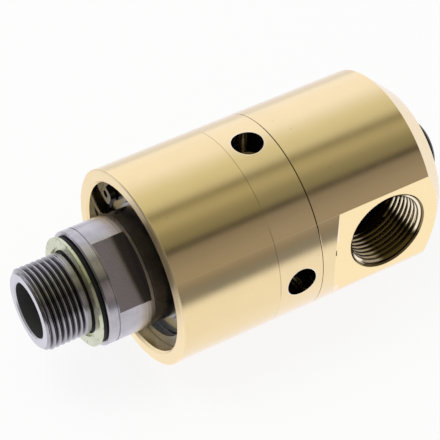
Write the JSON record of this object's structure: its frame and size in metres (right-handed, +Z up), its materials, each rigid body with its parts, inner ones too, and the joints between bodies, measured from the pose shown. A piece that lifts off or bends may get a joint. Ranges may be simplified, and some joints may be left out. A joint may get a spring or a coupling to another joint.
{
  "type": "hydraulic rotary union",
  "caption": "Rotary union: a threaded rotor turns in ball bearings inside a two-part brass housing with a side port, leak holes and a spring-loaded face seal.",
  "frame": {"origin": "on the rotor axis at the inner end of the rotor thread, where it runs out at the neck", "axes": "+X along the rotor axis from the thread to the rear plug, -Y out of the side port, +Z up"},
  "size_m": [0.1413, 0.064, 0.064],
  "materials": {
    "brass": "fine turned, bright",
    "turned_steel": "turned and milled",
    "zinc_plate": "zinc plated, faintly yellow-green",
    "rubber": "smooth black nitrile",
    "spring_steel": "phosphated and oiled",
    "bearing_steel": "ground and polished",
    "cage_plastic": "moulded polyamide",
    "seat_steel": "lapped",
    "carbon": "lapped carbon graphite",
    "black_steel": "black oxide, satin"
  },
  "bodies": {
    "housing": {"front_housing": "brass", "rear_housing": "brass", "housing_joint_oring": "rubber", "bore_circlip": "spring_steel", "outer_spacer": "turned_steel", "front_bearing_outer_ring": "bearing_steel", "rear_bearing_outer_ring": "bearing_steel", "front_bearing_shields": "bearing_steel", "rear_bearing_shields": "bearing_steel", "carrier_oring": "rubber", "seal_spring": "spring_steel", "anti_rotation_pins": "bearing_steel", "rear_plug": "black_steel", "rear_plug_seal": "rubber"},
    "rotor": {"rotor": "turned_steel", "thread_retaining_ring": "zinc_plate", "thread_seal_ring": "rubber", "front_bearing_inner_ring": "bearing_steel", "rear_bearing_inner_ring": "bearing_steel", "inner_spacer": "turned_steel", "shaft_circlip": "spring_steel", "rotor_seal_seat": "seat_steel", "rotor_seal_oring": "rubber"},
    "front_cage": {"front_bearing_cage": "cage_plastic", "front_bearing_balls": "bearing_steel"},
    "rear_cage": {"rear_bearing_cage": "cage_plastic", "rear_bearing_balls": "bearing_steel"},
    "seal_carrier": {"seal_carrier": "brass", "carbon_seal_ring": "carbon"}
  },
  "joints": [
    {"name": "rotor_spin", "type": "hinge", "parent": "housing", "child": "rotor", "pos_m": [0.0205, 0, 0], "axis": [1, 0, 0], "continuous": true},
    {"name": "front_cage_spin", "type": "hinge", "parent": "housing", "child": "front_cage", "pos_m": [0.0335, 0, 0], "axis": [1, 0, 0], "continuous": true},
    {"name": "rear_cage_spin", "type": "hinge", "parent": "housing", "child": "rear_cage", "pos_m": [0.0495, 0, 0], "axis": [1, 0, 0], "continuous": true},
    {"name": "seal_float", "type": "slide", "parent": "housing", "child": "seal_carrier", "axis": [1, 0, 0], "range_m": [0, 0.0012], "stiffness_N_per_m": 5000, "springref_m": -0.004, "deforming": ["seal_spring"]}
  ],
  "couplings": [
    {"joint": "front_cage_spin", "follows": "rotor_spin", "ratio": 0.41647},
    {"joint": "rear_cage_spin", "follows": "rotor_spin", "ratio": 0.41647}
  ]
}
